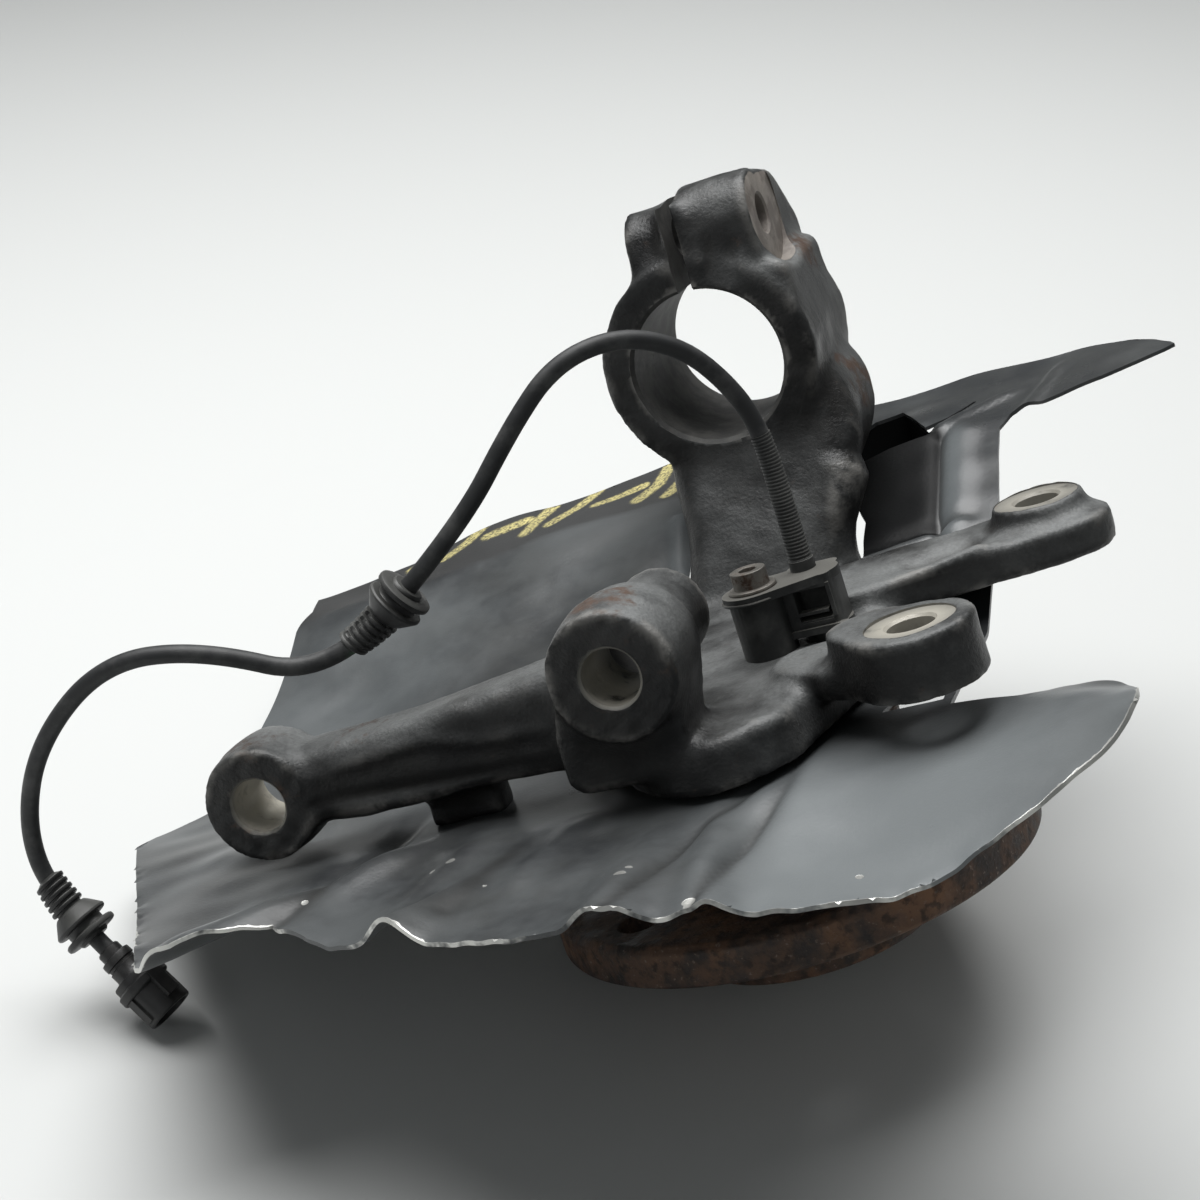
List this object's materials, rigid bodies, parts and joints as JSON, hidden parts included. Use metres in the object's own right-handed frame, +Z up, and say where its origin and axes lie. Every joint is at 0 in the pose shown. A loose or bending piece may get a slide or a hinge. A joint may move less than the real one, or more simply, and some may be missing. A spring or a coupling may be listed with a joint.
{
  "type": "steering knuckle",
  "caption": "Front steering knuckle casting with strut clamp, steering and caliper arms, flanged wheel hub, bent dust shield and a wired wheel speed sensor.",
  "frame": {"origin": "centre of the box of everything but the free cable, on the floor that the hub's edges rest on", "axes": "+Z up as it lies on a floor; the hub axis leans 26.6 degrees; +X roughly from the steering arm to the caliper ears, +Y roughly towards the strut clamp"},
  "size_m": [0.3512, 0.3093, 0.2079],
  "materials": {
    "cast_iron": "black painted casting, satin, worn at the faces",
    "hub_steel": "machined forging with surface rust",
    "bearing_steel": "ground and polished",
    "cage_polymer": "moulded",
    "rubber": "matt",
    "fastener_steel": "dull zinc with light rust",
    "cap_steel": "pressed, dull",
    "shield_sheet": "dark grey paint, semi-gloss, bare worn edge",
    "sensor_plastic": "moulded, dusty"
  },
  "bodies": {
    "knuckle": {"knuckle": "cast_iron", "inner_ring_outboard": "bearing_steel", "inner_ring_inboard": "bearing_steel", "spindle_nut": "fastener_steel", "dust_shield": "shield_sheet", "shield_screws": "fastener_steel", "sensor_body": "sensor_plastic", "sensor_bush": "fastener_steel", "sensor_screw": "fastener_steel", "sensor_cable": "rubber", "sensor_boot": "rubber", "cable_grommet_upper": "rubber", "cable_grommet_lower": "rubber", "cable_plug": "sensor_plastic"},
    "hub": {"wheel_hub": "hub_steel", "grease_cap": "cap_steel", "encoder_ring": "hub_steel", "bearing_seal": "rubber"},
    "cages": {"ball_row_outboard": "bearing_steel", "ball_row_inboard": "bearing_steel", "ball_cage_outboard": "cage_polymer", "ball_cage_inboard": "cage_polymer"}
  },
  "joints": [
    {"name": "hub_spin", "type": "hinge", "parent": "knuckle", "child": "hub", "pos_m": [0.03436, -0.006, 0.05098], "axis": [0.3318, -0.2998, -0.8944], "continuous": true},
    {"name": "cage_spin", "type": "hinge", "parent": "knuckle", "child": "cages", "pos_m": [0.03436, -0.006, 0.05098], "axis": [0.3318, -0.2998, -0.8944], "continuous": true}
  ],
  "couplings": [
    {"joint": "cage_spin", "follows": "hub_spin", "ratio": 0.5766}
  ]
}
